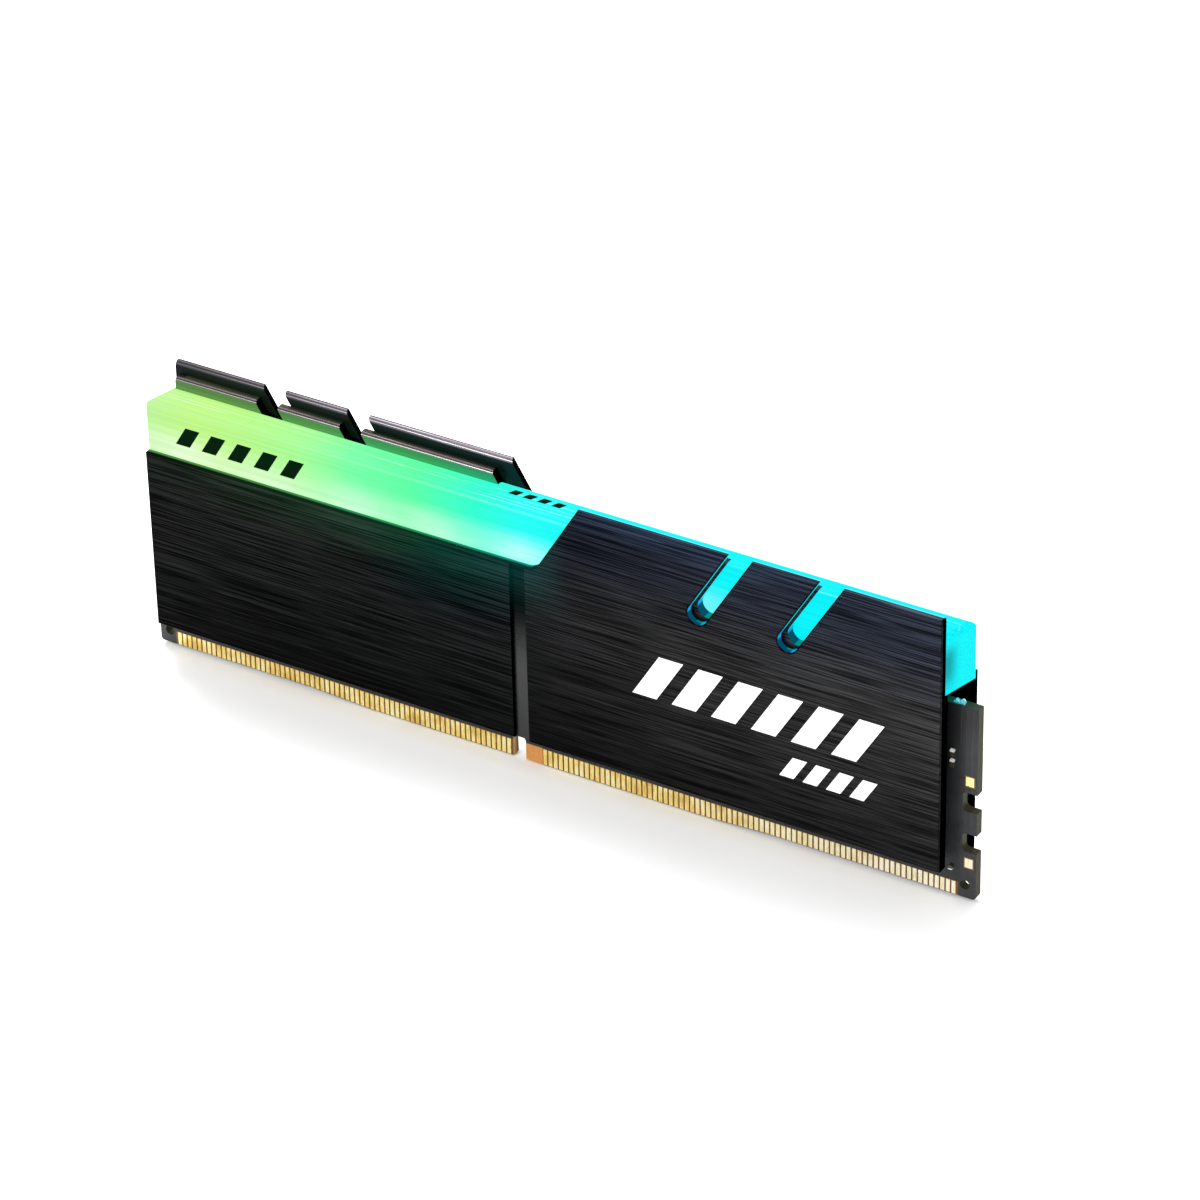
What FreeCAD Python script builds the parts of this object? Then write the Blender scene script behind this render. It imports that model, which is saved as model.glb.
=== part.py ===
import FreeCAD, Part
import os
import re
import Sketcher

# A 288-contact desktop memory module with two aluminium heatspreader plates and a light bar.
# Millimetres. X runs along the board, the front face looks towards -Y, Z is up.
# The origin is the middle of the board, at its lowest edge.

os.makedirs("parts", exist_ok=True)
doc = FreeCAD.newDocument("memory_module")

# ---------------------------------------------------------------- sizes

SIZES = {
    # printed board
    "board_length": 133.35,
    "board_height": 31.25,
    "board_thickness": 1.4,
    "board_corner": 0.5,
    "end_rise": 0.5,  # the lower edge is this much higher near the ends than near the key
    "ramp_run": 10.2,
    "left_outer_flat": 26.3,  # from the board's left end to the left ramp
    "right_outer_flat": 32.25,
    "overcut": 1.0,  # how far a cutting shape runs past the edge it opens
    "key_centre": -5.5,
    "key_width": 2.1,
    "key_height": 3.85,
    "latch_height": 3.0,
    "latch_depth": 2.2,
    "latch_lower": 8.0,
    "latch_upper": 14.6,
    "latch_round": 0.7,
    "tooling_hole": 1.5,
    "tooling_inset": 1.65,
    "tooling_rise": 2.55,
    # edge contacts
    "contact_pitch": 0.85,
    "contact_width": 0.6,
    "contact_top": 2.65,
    "contact_plating": 0.05,
    "contact_edge_gap": 0.1,
    "left_first": -63.325,
    "left_count": 67,
    "right_first": -1.275,
    "right_count": 77,
    # test pads
    "test_pad_width": 1.2,
    "test_pad_tall": 1.45,
    "test_pad_x": 65.55,
    "test_pad_low": 6.25,
    "test_pad_high": 19.5,
    # chips
    "chip_width": 7.5,
    "chip_tall": 11.0,
    "chip_thickness": 1.1,
    "chip_bevel": 0.2,
    "chip_dimple": 0.6,
    "chip_dimple_inset": 0.75,
    "chip_dimple_depth": 0.1,
    "chip_first": 11.6,  # from the middle of the board to the first chip each way
    "chip_pitch": 13.6,
    "chip_centre": 16.4,
    "spd_width": 3.0,
    "spd_tall": 2.0,
    "spd_thickness": 0.75,
    "spd_centre": 9.2,
    "driver_width": 4.0,
    "driver_tall": 4.0,
    "driver_thickness": 0.85,
    "driver_centre": 27.3,
    # small parts
    "cap_width": 1.0,
    "cap_tall": 0.5,
    "cap_thickness": 0.5,
    "cap_first": -58.0,
    "cap_pitch": 4.0,
    "cap_count": 30,
    "cap_rise": 24.2,
    "net_width": 1.6,
    "net_tall": 0.8,
    "net_thickness": 0.45,
    "net_first": -57.0,
    "net_pitch": 6.3,
    "net_count": 19,
    "net_rise": 7.3,
    "end_part_width": 0.6,
    "end_part_tall": 1.1,
    "end_part_thickness": 0.4,
    "end_part_x": 62.9,
    "end_part_low": 4.6,
    "end_part_high": 21.3,
    "end_part_step": 1.6,
    # lights
    "light_width": 3.2,
    "light_tall": 1.3,
    "light_thickness": 1.0,
    "light_window": 2.4,
    "light_window_depth": 0.25,
    "light_window_thickness": 0.6,
    "light_first": -58.8,
    "light_pitch": 13.9,
    "light_base": 30.0,
    # thermal pads
    "pad_length": 116.0,
    "pad_base": 10.0,
    "pad_height": 13.0,
    # heatspreader plates, measured from the low end of each plate
    "module_thickness": 8.0,
    "plate_length": 127.5,
    "front_shift": -1.0,
    "rear_shift": 0.3,
    "plate_base": 5.6,
    "plate_low_top": 34.4,
    "plate_high_top": 46.2,
    "skin": 1.1,
    "backing": 1.8,
    "backing_top": 33.6,
    "groove_start": 60.5,
    "groove_width": 2.5,
    "groove_depth": 0.6,
    "lean": 31.4,  # degrees from upright of the slots and of the tall half's edge
    "tall_foot": 64.6,
    "foot_round": 2.6,
    "edge_bevel": 0.2,
    "slot_width": 3.1,
    "slot_rise": 35.2,
    "first_slot": 90.3,
    "second_slot": 104.2,
    "rail_reach": 2.5,  # from the plate's outer face to the rail's inner face
    "rail_top": 44.4,
    "rail_lag": 3.4,
    "rail_setback": 0.8,
    "front_rail_lag": 0.55,  # the rail's slots are this far past the skin's slots
    "rear_rail_lag": 1.5,
    "rail_slot_lift": 0.85,
    "skin_round": 0.75,
    "rail_round": 0.6,
    # light bar
    "bar_top": 42.7,
    "bar_low_end": -64.75,
    "bar_length": 127.45,
    "bar_skew": 1.5,
    "bar_round": 1.0,
    "bar_clearance": 0.05,
    "channel_half": 0.9,
    "channel_depth": 3.0,
    "channel_end": 3.0,
    # printed marks
    "ink": 0.05,
    "mark_start": 80.0,
    "mark_rise": 19.6,
    "mark_width": 3.8,
    "mark_tall": 7.0,
    "mark_pitch": 6.2,
    "mark_count": 6,
    "small_mark_start": 103.0,
    "small_mark_rise": 13.6,
    "small_mark_width": 2.2,
    "small_mark_tall": 3.4,
    "small_mark_pitch": 3.6,
    "small_mark_count": 4,
    "bar_mark_start": -60.0,
    "bar_mark_rise": 36.7,
    "bar_mark_width": 2.4,
    "bar_mark_tall": 3.0,
    "bar_mark_pitch": 4.4,
    "bar_mark_count": 5,
    "top_mark_start": -6.6,
    "top_mark_offset": 0.2,
    "top_mark_width": 1.3,
    "top_mark_deep": 1.1,
    "top_mark_pitch": 2.3,
    "top_mark_lean": 0.5,
    "top_mark_count": 4,
}

CHIPS_PER_HALF = 4
LIGHTS = 9

sheet = doc.addObject("Spreadsheet::Sheet", "Sizes")
for row, (alias, value) in enumerate(SIZES.items(), 1):
    sheet.set(f"A{row}", alias)
    sheet.set(f"B{row}", str(value))
    sheet.setAlias(f"B{row}", alias)
doc.recompute()


def size(text):
    """Turn words such as 'skin' in an expression into references to the sheet."""
    return re.sub("[a-z_]+", lambda word: f"Sizes.{word[0]}" if word[0] in SIZES else word[0], text)


def number(text):
    """The value an expression has now."""
    return float(sheet.evalExpression(size(text)))


# ---------------------------------------------------------------- drawing helpers


def new_body(label):
    body = doc.addObject("PartDesign::Body", label)
    body.Label = label
    body.AllowCompound = True
    return body


def origin_feature(body, role):
    return next(item for item in body.Origin.OriginFeatures if item.Role == role)


def new_sketch(body, name, plane, height):
    """An empty sketch on an origin plane, moved along the plane's normal by an expression."""
    sketch = body.newObject("Sketcher::SketchObject", name)
    sketch.AttachmentSupport = (origin_feature(body, plane), [""])
    sketch.MapMode = "FlatFace"
    sketch.setExpression("AttachmentOffset.Base.z", size(height))
    return sketch


def place_point(sketch, geometry, end, label, across, up):
    """Hold one point of a sketch at two expressions."""
    for kind, suffix, text in (("DistanceX", "across", across), ("DistanceY", "up", up)):
        constraint = Sketcher.Constraint(kind, -1, 1, geometry, end, number(text))
        index = sketch.addConstraint(constraint)
        sketch.renameConstraint(index, f"{label}_{suffix}")
        sketch.setExpression(f"Constraints.{label}_{suffix}", size(text))


def polygon(body, name, plane, points, height="0"):
    """A closed outline through points given as pairs of expressions."""
    sketch = new_sketch(body, name, plane, height)
    corners = [FreeCAD.Vector(number(across), number(up), 0) for across, up in points]
    for start, end in zip(corners, corners[1:] + corners[:1]):
        sketch.addGeometry(Part.LineSegment(start, end), False)
    for side in range(len(corners)):
        following = (side + 1) % len(corners)
        sketch.addConstraint(Sketcher.Constraint("Coincident", side, 2, following, 1))
    for side, (across, up) in enumerate(points):
        place_point(sketch, side, 1, f"corner_{side}", across, up)
    return sketch


def rectangle(body, name, plane, left, low, width, tall, height="0"):
    right = f"{left} + {width}"
    top = f"{low} + {tall}"
    return polygon(body, name, plane, [(left, low), (right, low), (right, top), (left, top)], height)


def circle(body, name, plane, across, up, diameter, height="0"):
    sketch = new_sketch(body, name, plane, height)
    centre = FreeCAD.Vector(number(across), number(up), 0)
    ring = Part.Circle(centre, FreeCAD.Vector(0, 0, 1), number(f"{diameter} / 2"))
    sketch.addGeometry(ring, False)
    place_point(sketch, 0, 3, "centre", across, up)
    index = sketch.addConstraint(Sketcher.Constraint("Radius", 0, number(f"{diameter} / 2")))
    sketch.renameConstraint(index, "round")
    sketch.setExpression("Constraints.round", size(f"{diameter} / 2"))
    return sketch


def pad(body, name, sketch, length, reverse=False):
    feature = body.newObject("PartDesign::Pad", name)
    feature.Profile = sketch
    feature.setExpression("Length", size(length))
    feature.Reversed = reverse
    sketch.Visibility = False
    doc.recompute()
    return feature


def pocket(body, name, sketch, depth, reverse=False):
    """Cut a sketch into a body and make sure that material went away."""
    before = body.Shape.Volume
    feature = body.newObject("PartDesign::Pocket", name)
    feature.Profile = sketch
    feature.setExpression("Length", size(depth))
    feature.Reversed = reverse
    sketch.Visibility = False
    doc.recompute()
    if body.Shape.Volume >= before - 1e-6:
        raise RuntimeError(f"{name} cuts nothing")
    return feature


def dress(body, kind, name, radius, wanted):
    """Round or bevel the edges of a body that pass a test."""
    base = body.Tip
    edges = [f"Edge{i}" for i, edge in enumerate(base.Shape.Edges, 1) if wanted(edge)]
    feature = body.newObject(f"PartDesign::{kind}", name)
    feature.Base = (base, edges)
    feature.setExpression("Radius" if kind == "Fillet" else "Size", size(radius))
    doc.recompute()
    return feature


def row_along(body, feature, name, pitch, count):
    """Repeat a feature along the body's X axis."""
    pattern = body.newObject("PartDesign::LinearPattern", name)
    pattern.Originals = [feature]
    pattern.Direction = (origin_feature(body, "X_Axis"), [""])
    pattern.setExpression("Length", size(f"{pitch} * ( {count} - 1 )"))
    pattern.setExpression("Occurrences", size(count))
    body.Tip = pattern
    doc.recompute()
    return pattern


def put(item, across="0", deep="0", up="0", half_turn=False):
    """Place a sub-part, turned half a turn about Z where it faces the rear."""
    angle = 180 if half_turn else 0
    item.Placement = FreeCAD.Placement(
        FreeCAD.Vector(number(across), number(deep), number(up)),
        FreeCAD.Rotation(FreeCAD.Vector(0, 0, 1), angle),
    )
    item.setExpression("Placement.Base.x", size(across))
    item.setExpression("Placement.Base.y", size(deep))
    item.setExpression("Placement.Base.z", size(up))
    return item


def lies_at(edge, axis, value):
    return all(abs(getattr(vertex.Point, axis) - value) < 1e-4 for vertex in edge.Vertexes)


def along_y(edge):
    if len(edge.Vertexes) != 2:
        return False
    start, end = edge.Vertexes[0].Point, edge.Vertexes[1].Point
    return abs(start.x - end.x) < 1e-4 and abs(start.z - end.z) < 1e-4


def near(edge, across, up):
    point = edge.Vertexes[0].Point
    return abs(point.x - across) < 1e-3 and abs(point.z - up) < 1e-3


# ---------------------------------------------------------------- printed board

BOARD_OUTLINE = [
    ("-board_length / 2", "end_rise"),
    ("left_outer_flat - board_length / 2", "end_rise"),
    ("left_outer_flat + ramp_run - board_length / 2", "0"),
    ("board_length / 2 - right_outer_flat - ramp_run", "0"),
    ("board_length / 2 - right_outer_flat", "end_rise"),
    ("board_length / 2", "end_rise"),
    ("board_length / 2", "board_height"),
    ("-board_length / 2", "board_height"),
]


def make_board():
    body = new_body("printed_board")
    outline = polygon(body, "board_outline", "XZ_Plane", BOARD_OUTLINE, "board_thickness / 2")
    pad(body, "board_blank", outline, "board_thickness", True)
    key = rectangle(
        body, "key_slot", "XZ_Plane", "key_centre - key_width / 2", "-overcut", "key_width",
        "key_height - key_width / 2 + overcut", "board_thickness / 2",
    )
    pocket(body, "key_cut", key, "board_thickness")
    crown = circle(
        body, "key_crown", "XZ_Plane", "key_centre", "key_height - key_width / 2", "key_width",
        "board_thickness / 2",
    )
    pocket(body, "key_crown_cut", crown, "board_thickness")
    latch_starts = (
        ("left", "-board_length / 2 - overcut"),
        ("right", "board_length / 2 - latch_depth"),
    )
    for end, left in latch_starts:
        for level in ("lower", "upper"):
            name = f"{end}_{level}_latch"
            notch = rectangle(
                body, name, "XZ_Plane", left, f"latch_{level}", "latch_depth + overcut",
                "latch_height", "board_thickness / 2",
            )
            pocket(body, f"{name}_cut", notch, "board_thickness")
    inner = number("board_length / 2 - latch_depth")
    dress(body, "Fillet", "latch_rounding", "latch_round",
          lambda edge: along_y(edge) and abs(abs(edge.Vertexes[0].Point.x) - inner) < 1e-4)
    end = number("board_length / 2")
    low = number("end_rise")
    dress(body, "Fillet", "corner_rounding", "board_corner",
          lambda edge: along_y(edge) and (near(edge, end, low) or near(edge, -end, low)))
    for end, side in (("left", "-1"), ("right", "1")):
        hole = circle(
            body, f"{end}_tooling_hole", "XZ_Plane", f"{side} * ( board_length / 2 - tooling_inset )",
            "tooling_rise", "tooling_hole", "board_thickness / 2",
        )
        pocket(body, f"{end}_tooling_cut", hole, "board_thickness")
    return body


def make_contact_row(side, face, trim):
    """One row of contacts, cut to the stepped lower edge of the board."""
    front = face == "front"
    body = new_body(f"contact_blanks_{face}_{side}")
    height = "board_thickness / 2" if front else "-board_thickness / 2"
    first = rectangle(
        body, f"contact_{face}_{side}", "XZ_Plane", f"{side}_first - contact_width / 2",
        "-overcut", "contact_width", "contact_top + overcut", height,
    )
    blank = pad(body, f"contact_pad_{face}_{side}", first, "contact_plating", not front)
    row_along(body, blank, f"contact_row_{face}_{side}", "contact_pitch", f"{side}_count")
    row = doc.addObject("Part::Common", f"edge_contacts_{face}_{side}")
    row.Label = f"edge_contacts_{face}_{side}"
    row.Base = body
    row.Tool = trim
    doc.recompute()
    return row


def make_contact_trim():
    """The band that the contacts may fill: the board's outline, a little inside its lower edge."""
    body = new_body("contact_band")
    band = [(across, f"{up} + contact_edge_gap") for across, up in BOARD_OUTLINE]
    outline = polygon(body, "contact_band_outline", "XZ_Plane", band, "board_thickness")
    pad(body, "contact_band_solid", outline, "2 * board_thickness", True)
    return body


def make_test_pads():
    body = new_body("test_pads")
    for level in ("low", "high"):
        square = rectangle(
            body, f"test_pad_{level}_outline", "XZ_Plane", "test_pad_x - test_pad_width / 2",
            f"test_pad_{level} - test_pad_tall / 2", "test_pad_width", "test_pad_tall",
            "board_thickness / 2",
        )
        pad(body, f"test_pad_{level}_solid", square, "contact_plating")
    return body


# ---------------------------------------------------------------- chips and small parts


def make_chip(label, kind, across, face):
    """A moulded chip with bevelled top edges and a round first-pin dimple."""
    body = new_body(label)
    outline = rectangle(
        body, f"{label}_outline", "XZ_Plane", f"-{kind}_width / 2", f"-{kind}_tall / 2",
        f"{kind}_width", f"{kind}_tall",
    )
    pad(body, f"{label}_block", outline, f"{kind}_thickness")
    outer = -number(f"{kind}_thickness")
    dress(body, "Chamfer", f"{label}_bevel", "chip_bevel", lambda edge: lies_at(edge, "y", outer))
    dimple = circle(
        body, f"{label}_dimple", "XZ_Plane", f"chip_dimple_inset - {kind}_width / 2",
        f"{kind}_tall / 2 - chip_dimple_inset", "chip_dimple", f"{kind}_thickness",
    )
    pocket(body, f"{label}_dimple_cut", dimple, "chip_dimple_depth")
    rear = face == "rear"
    deep = "board_thickness / 2" if rear else "-board_thickness / 2"
    return put(body, across, deep, f"{kind}_centre", rear)


def make_chips():
    chips = []
    for face in ("front", "rear"):
        for place in range(2 * CHIPS_PER_HALF):
            steps = place - CHIPS_PER_HALF
            if steps < 0:
                across = f"-chip_first - chip_pitch * {-steps - 1}"
            else:
                across = f"chip_first + chip_pitch * {steps}"
            chips.append(make_chip(f"memory_chip_{face}_{place + 1}", "chip", across, face))
    chips.append(make_chip("presence_detect_chip", "spd", "0", "front"))
    chips.append(make_chip("light_controller", "driver", "0", "front"))
    return chips


def make_capacitors(face):
    front = face == "front"
    body = new_body(f"capacitors_{face}")
    height = "board_thickness / 2" if front else "-board_thickness / 2"
    first = rectangle(
        body, f"capacitor_{face}_outline", "XZ_Plane", "cap_first", "cap_rise", "cap_width",
        "cap_tall", height,
    )
    block = pad(body, f"capacitor_{face}_block", first, "cap_thickness", not front)
    row_along(body, block, f"capacitor_{face}_row", "cap_pitch", "cap_count")
    return body


def make_resistor_networks():
    """A row of low resistor blocks above the contacts."""
    body = new_body("resistor_networks")
    first = rectangle(
        body, "network_outline", "XZ_Plane", "net_first", "net_rise", "net_width", "net_tall",
        "board_thickness / 2",
    )
    block = pad(body, "network_block", first, "net_thickness")
    row_along(body, block, "network_row", "net_pitch", "net_count")
    return body


def make_end_parts():
    """Small parts in the open strip between the plate and the board's right end."""
    lower = new_body("end_part_lower")
    low = rectangle(
        lower, "end_part_lower_outline", "XZ_Plane", "end_part_x - end_part_width / 2",
        "end_part_low", "end_part_width", "end_part_width", "board_thickness / 2",
    )
    pad(lower, "end_part_lower_block", low, "end_part_thickness")
    upper = new_body("end_parts_upper")
    for place in range(2):
        outline = rectangle(
            upper, f"end_part_upper_outline_{place}", "XZ_Plane",
            "end_part_x - end_part_width / 2", f"end_part_high + end_part_step * {place}",
            "end_part_width", "end_part_tall", "board_thickness / 2",
        )
        pad(upper, f"end_part_upper_block_{place}", outline, "end_part_thickness")
    return [lower, upper]


def make_light(place):
    """A small side-facing light on the board's top edge, with a window on its top face."""
    label = f"light_{place + 1}"
    body = new_body(label)
    outline = rectangle(
        body, f"{label}_outline", "XZ_Plane", "-light_width / 2", "0", "light_width", "light_tall",
    )
    pad(body, f"{label}_block", outline, "light_thickness")
    window = rectangle(
        body, f"{label}_window", "XY_Plane", "-light_window / 2",
        "-light_thickness / 2 - light_window_thickness / 2", "light_window",
        "light_window_thickness", "light_tall",
    )
    pocket(body, f"{label}_window_cut", window, "light_window_depth")
    across = f"light_first + light_pitch * {place}"
    return put(body, across, "-board_thickness / 2", "light_base")


def make_thermal_pad(face):
    rear = face == "rear"
    block = doc.addObject("Part::Box", f"thermal_pad_{face}")
    block.Label = f"thermal_pad_{face}"
    block.setExpression("Length", size("pad_length"))
    gap = "module_thickness / 2 - board_thickness / 2 - chip_thickness - backing"
    block.setExpression("Width", size(gap))
    block.setExpression("Height", size("pad_height"))
    chip_face = "( board_thickness / 2 + chip_thickness )"
    deep = chip_face if rear else f"-1 * {chip_face} - ( {gap} )"
    doc.recompute()
    return put(block, "-pad_length / 2", deep, "pad_base")


# ---------------------------------------------------------------- heatspreader plates

RUN = "tan(lean * 1deg)"
COS = "cos(lean * 1deg)"
SIN = "sin(lean * 1deg)"


def leaning_x(foot, foot_rise, rise):
    """Where a leaning line through (foot, foot_rise) is at a height."""
    return f"{foot} + {RUN} * ( {rise} - ( {foot_rise} ) )"


def leaning_slot(foot, rise):
    """The straight part of a leaning slot, open at the top of the plate."""
    half = "slot_width / 2"
    reach = f"( plate_high_top - ( {rise} ) + slot_width )"
    top_x = f"{foot} + {reach} * {RUN}"
    top_z = f"{rise} + {reach}"
    return [
        (f"{foot} - {half} * {COS}", f"{rise} + {half} * {SIN}"),
        (f"{foot} + {half} * {COS}", f"{rise} - {half} * {SIN}"),
        (f"{top_x} + {half} * {COS}", f"{top_z} - {half} * {SIN}"),
        (f"{top_x} - {half} * {COS}", f"{top_z} + {half} * {SIN}"),
    ]


def cut_slots(body, prefix, height, depth, reverse, lag, lift):
    """Two leaning slots with round feet, cut through one layer of the plate."""
    rise = f"slot_rise + {lift}"
    for order in ("first", "second"):
        foot = f"{order}_slot + {lag} + {lift} * {RUN}"
        straight = polygon(
            body, f"{prefix}_{order}_slot", "XZ_Plane", leaning_slot(foot, rise), height,
        )
        pocket(body, f"{prefix}_{order}_slot_cut", straight, depth, reverse)
        foot_end = circle(
            body, f"{prefix}_{order}_foot", "XZ_Plane", foot, rise, "slot_width", height,
        )
        pocket(body, f"{prefix}_{order}_foot_cut", foot_end, depth, reverse)


def plate_silhouette():
    tip = leaning_x("tall_foot", "plate_low_top", "plate_high_top")
    return [
        ("0", "plate_base"),
        ("plate_length", "plate_base"),
        ("plate_length", "plate_high_top"),
        (tip, "plate_high_top"),
        ("tall_foot", "plate_low_top"),
        ("0", "plate_low_top"),
    ]


def rail_silhouette(clearance):
    """The inner rail's outline, grown by a clearance where the light bar makes room for it."""
    foot = "( tall_foot + rail_lag )"
    start = leaning_x(foot, "plate_low_top", "backing_top")
    end = leaning_x(foot, "plate_low_top", "rail_top")
    far = f"plate_length - rail_setback + {clearance}"
    return [
        (f"{start} - {clearance}", "backing_top"),
        (far, "backing_top"),
        (far, "rail_top"),
        (f"{end} - {clearance}", "rail_top"),
    ]


def make_plate(face):
    """One plate: a thin outer skin, a thicker low part and a rail inside the tall half."""
    label = f"heatspreader_{face}"
    body = new_body(label)
    skin = polygon(body, f"{label}_silhouette", "XZ_Plane", plate_silhouette())
    pad(body, f"{label}_skin", skin, "skin", True)
    low_top = number("plate_low_top")
    foot = number("tall_foot")
    dress(body, "Fillet", f"{label}_foot_round", "foot_round",
          lambda edge: along_y(edge) and near(edge, foot, low_top))
    cut_slots(body, f"{label}_skin", "0", "skin", False, "0", "0")
    dress(body, "Chamfer", f"{label}_edge_bevel", "edge_bevel", lambda edge: lies_at(edge, "y", 0))
    backing = rectangle(
        body, f"{label}_backing_outline", "XZ_Plane", "0", "plate_base", "plate_length",
        "backing_top - plate_base", "-skin",
    )
    pad(body, f"{label}_backing", backing, "backing - skin", True)
    groove = rectangle(
        body, f"{label}_groove_outline", "XZ_Plane", "groove_start", "plate_base - overcut",
        "groove_width", "plate_low_top - plate_base + 2 * overcut",
    )
    pocket(body, f"{label}_groove", groove, "groove_depth")
    rail = polygon(body, f"{label}_rail_outline", "XZ_Plane", rail_silhouette("0"), "-skin")
    pad(body, f"{label}_rail", rail, "rail_reach - skin", True)
    cut_slots(
        body, f"{label}_rail", "-rail_reach", "rail_reach - skin", True, f"{face}_rail_lag",
        "rail_slot_lift",
    )
    round_fin_tops(body, label)
    if face == "front":
        return put(body, "front_shift - plate_length / 2", "-module_thickness / 2")
    return put(body, "rear_shift + plate_length / 2", "module_thickness / 2", "0", True)


def round_fin_tops(body, label):
    """Round the inner top edges of the outer skin and of the rail."""
    for layer, top, reach in (("skin", "plate_high_top", "skin"), ("rail", "rail_top", "rail_reach")):
        height = number(top)
        inner_face = number(reach)
        dress(body, "Fillet", f"{label}_{layer}_rounding", f"{layer}_round",
              lambda edge: lies_at(edge, "z", height) and lies_at(edge, "y", inner_face))


# ---------------------------------------------------------------- light bar


def rail_recess(face, points):
    """The rail's outline in the module's own frame, for the front or the rear plate."""
    if face == "front":
        return [(f"front_shift - plate_length / 2 + {across}", up) for across, up in points]
    return [(f"rear_shift + plate_length / 2 - ( {across} )", up) for across, up in points]


def make_light_bar():
    body = new_body("light_bar")
    half = "( module_thickness / 2 - skin )"
    plan = [
        ("bar_low_end", f"-1 * {half}"),
        ("bar_low_end + bar_length", f"-1 * {half}"),
        ("bar_low_end + bar_length + bar_skew", half),
        ("bar_low_end + bar_skew", half),
    ]
    outline = polygon(body, "bar_plan", "XY_Plane", plan, "backing_top")
    pad(body, "bar_blank", outline, "bar_top - backing_top")
    top = number("bar_top")
    dress(body, "Fillet", "bar_rounding", "bar_round", lambda edge: lies_at(edge, "z", top))
    depth = "rail_reach - skin + bar_clearance"
    for face, height, reverse in (("front", half, False), ("rear", f"-1 * {half}", True)):
        grown = rail_recess(face, rail_silhouette("bar_clearance"))
        recess = polygon(body, f"bar_recess_{face}", "XZ_Plane", grown, height)
        pocket(body, f"bar_recess_{face}_cut", recess, depth, reverse)
    channel = rectangle(
        body, "bar_channel", "XY_Plane", "bar_low_end + channel_end", "-channel_half",
        "bar_length - 2 * channel_end + bar_skew", "2 * channel_half",
        "backing_top",
    )
    pocket(body, "bar_channel_cut", channel, "channel_depth", True)
    return body


# ---------------------------------------------------------------- printed marks


def leaning_bar(left, low, width, tall, lean_run):
    right = f"{left} + {width}"
    return [
        (left, low),
        (right, low),
        (f"{right} + {lean_run} * {tall}", f"{low} + {tall}"),
        (f"{left} + {lean_run} * {tall}", f"{low} + {tall}"),
    ]


def make_panel_marks(face):
    """Two lines of plain leaning bars on the tall half of a plate."""
    label = f"panel_marks_{face}"
    body = new_body(label)
    for kind in ("mark", "small_mark"):
        points = leaning_bar(f"{kind}_start", f"{kind}_rise", f"{kind}_width", f"{kind}_tall", RUN)
        first = polygon(body, f"{label}_{kind}", "XZ_Plane", points)
        bar = pad(body, f"{label}_{kind}_bar", first, "ink")
        row_along(body, bar, f"{label}_{kind}_row", f"{kind}_pitch", f"{kind}_count")
    if face == "front":
        return put(body, "front_shift - plate_length / 2", "-module_thickness / 2")
    return put(body, "rear_shift + plate_length / 2", "module_thickness / 2", "0", True)


def make_bar_marks():
    """Plain leaning bars on the front of the light bar and small ones on its top."""
    front = new_body("bar_marks_front")
    points = leaning_bar("bar_mark_start", "bar_mark_rise", "bar_mark_width", "bar_mark_tall", RUN)
    first = polygon(front, "bar_mark_outline", "XZ_Plane", points, "module_thickness / 2 - skin")
    bar = pad(front, "bar_mark_bar", first, "ink")
    row_along(front, bar, "bar_mark_row", "bar_mark_pitch", "bar_mark_count")
    top = new_body("bar_marks_top")
    points = leaning_bar(
        "top_mark_start", "top_mark_offset", "top_mark_width", "top_mark_deep", "top_mark_lean"
    )
    first = polygon(top, "top_mark_outline", "XY_Plane", points, "bar_top")
    bar = pad(top, "top_mark_bar", first, "ink")
    row_along(top, bar, "top_mark_row", "top_mark_pitch", "top_mark_count")
    return [front, top]


# ---------------------------------------------------------------- the module

parts = [make_board()]
contact_trim = make_contact_trim()
for face in ("front", "rear"):
    for side in ("left", "right"):
        parts.append(make_contact_row(side, face, contact_trim))
parts.append(make_test_pads())
parts += make_chips()
parts += [make_capacitors("front"), make_capacitors("rear"), make_resistor_networks()]
parts += make_end_parts()
parts += [make_light(place) for place in range(LIGHTS)]
parts += [make_thermal_pad("front"), make_thermal_pad("rear")]
parts += [make_plate("front"), make_plate("rear")]
parts.append(make_light_bar())
parts += [make_panel_marks("front"), make_panel_marks("rear")]
parts += make_bar_marks()

doc.recompute()
for item in doc.Objects:
    if "Invalid" in item.State or "Error" in item.State:
        raise RuntimeError(f"{item.Label} is in state {item.State}")
for part in parts:
    if part.Shape.isNull() or not part.Shape.isValid():
        raise RuntimeError(f"{part.Label} has no valid shape")
for part in parts:
    part.Shape.exportStep(f"parts/{part.Label}.step")
    box = part.Shape.BoundBox
    print(f"{part.Label}: {box.XLength:.2f} x {box.YLength:.2f} x {box.ZLength:.2f} mm")
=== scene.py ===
import math

import bmesh
import bpy
from mathutils import Matrix, Quaternion, Vector


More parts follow.
